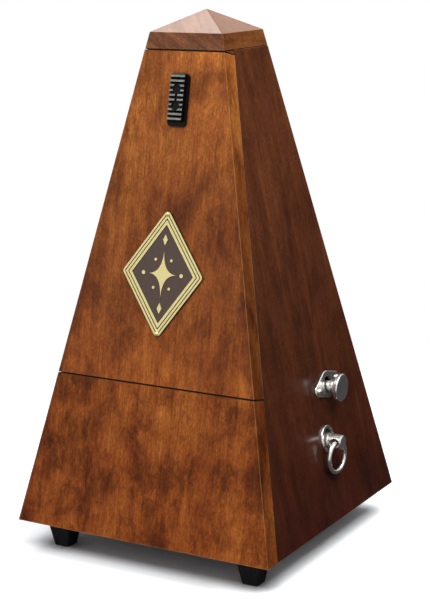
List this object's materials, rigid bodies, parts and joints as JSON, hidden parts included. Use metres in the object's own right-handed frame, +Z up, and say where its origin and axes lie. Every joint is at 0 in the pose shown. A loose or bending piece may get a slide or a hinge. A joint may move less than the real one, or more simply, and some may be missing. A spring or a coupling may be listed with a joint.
{
  "type": "mechanical metronome",
  "caption": "Wind-up pyramid metronome in a wooden case with a lift-off front cover, pendulum with tempo weight, winding key and bell selector.",
  "frame": {"origin": "on the table under the middle of the case", "axes": "+Z up, front cover faces -Y, winding key and bell knob on +X"},
  "size_m": [0.1173, 0.117, 0.22],
  "materials": {
    "case_wood": "stained, satin lacquer",
    "side_wood": "dark red-brown stain, satin lacquer",
    "cover_wood": "orange-brown figured walnut, satin lacquer",
    "inner_wood": "plain, unfinished",
    "foot_black": "black lacquer",
    "nickel": "nickel plate",
    "steel": "plain",
    "spring_steel": "blued",
    "brass": "polished",
    "badge_brass": "satin, dark filled lines",
    "scale_metal": "printed face",
    "black_plastic": "moulded"
  },
  "bodies": {
    "case": {"base_board": "inner_wood", "left_side_panel": "side_wood", "right_side_panel": "side_wood", "back_panel": "side_wood", "lower_front_panel": "cover_wood", "top_cap": "case_wood", "front_left_foot": "foot_black", "front_right_foot": "foot_black", "rear_foot": "foot_black", "foot_screws": "steel", "knob_escutcheon": "nickel", "escutcheon_pins": "nickel", "key_eyelet": "nickel", "latch_keeper": "brass", "scale_plate": "scale_metal", "scale_cleats": "inner_wood", "scale_screws": "steel", "left_frame_plate": "brass", "right_frame_plate": "brass", "frame_pillars": "steel", "pillar_screws": "steel", "frame_screws": "steel", "front_bridge": "brass", "rear_cock": "brass", "mainspring": "spring_steel", "bell": "nickel", "bell_post": "steel", "bell_screw": "steel"},
    "cover": {"front_cover": "cover_wood", "cover_pegs": "inner_wood", "badge_plate": "badge_brass", "badge_pins": "badge_brass", "latch_guide": "brass", "latch_spring": "spring_steel"},
    "latch": {"latch_button": "black_plastic", "latch_tongue": "steel", "latch_screw": "steel"},
    "winding_key": {"winding_arbor": "steel", "key_stem": "nickel", "great_wheel": "brass", "ratchet_wheel": "steel", "click_screw": "steel", "click_spring": "spring_steel"},
    "key_ring": {"key_ring": "nickel"},
    "click": {"click": "steel"},
    "second_train": {"second_arbor": "steel", "second_wheel": "brass"},
    "escape_train": {"escape_arbor": "steel", "escape_wheel": "brass", "bell_cams": "brass"},
    "pendulum": {"pendulum_arbor": "steel", "pallets": "steel", "pendulum_rod": "steel", "pendulum_bob": "brass"},
    "tempo_weight": {"tempo_weight": "brass"},
    "bell_selector": {"selector_rod": "steel", "selector_knob": "nickel"},
    "bell_hammer": {"hammer_lever": "steel", "hammer_spring": "spring_steel", "hammer_head": "brass"}
  },
  "joints": [
    {"name": "cover_tilt", "type": "hinge", "parent": "case", "child": "cover", "pos_m": [0, -0.04544, 0.07469], "axis": [1, 0, 0], "range_deg": [0, 60]},
    {"name": "latch_slide", "type": "slide", "parent": "cover", "child": "latch", "axis": [0, -0.2055, -0.9787], "range_m": [0, 0.004], "stiffness_N_per_m": 150, "springref_m": -0.004},
    {"name": "key_turn", "type": "hinge", "parent": "case", "child": "winding_key", "pos_m": [0, 0.0066, 0.0452], "axis": [1, 0, 0], "continuous": true},
    {"name": "key_ring_swing", "type": "hinge", "parent": "winding_key", "child": "key_ring", "pos_m": [0.05613, 0.0066, 0.0452], "axis": [-0.0698, -0.9976, 0], "range_deg": [0, 170]},
    {"name": "click_lift", "type": "hinge", "parent": "winding_key", "child": "click", "pos_m": [0, 0.01656, 0.05095], "axis": [1, 0, 0], "range_deg": [0, 8], "stiffness_Nm_per_rad": 0.0008, "springref_deg": -17.19},
    {"name": "second_turn", "type": "hinge", "parent": "case", "child": "second_train", "pos_m": [0, -0.015, 0.03619], "axis": [1, 0, 0], "continuous": true},
    {"name": "escape_turn", "type": "hinge", "parent": "case", "child": "escape_train", "pos_m": [0, -0.01773, 0.05094], "axis": [1, 0, 0], "continuous": true},
    {"name": "pendulum_swing", "type": "hinge", "parent": "case", "child": "pendulum", "pos_m": [0, -0.04085, 0.06928], "axis": [0, 0.9787, -0.2055], "range_deg": [-7, 7]},
    {"name": "tempo_weight_slide", "type": "slide", "parent": "pendulum", "child": "tempo_weight", "axis": [0, 0.2055, 0.9787], "range_m": [-0.044, 0.036]},
    {"name": "selector_pull", "type": "slide", "parent": "case", "child": "bell_selector", "axis": [1, 0, 0], "range_m": [0, 0.01]},
    {"name": "hammer_lift", "type": "hinge", "parent": "bell_selector", "child": "bell_hammer", "pos_m": [0, 0.0145, 0.066], "axis": [-1, 0, 0], "range_deg": [0, 6], "stiffness_Nm_per_rad": 0.002, "springref_deg": -17.19}
  ],
  "couplings": [
    {"joint": "second_turn", "follows": "key_turn", "ratio": -5},
    {"joint": "escape_turn", "follows": "key_turn", "ratio": 25}
  ]
}
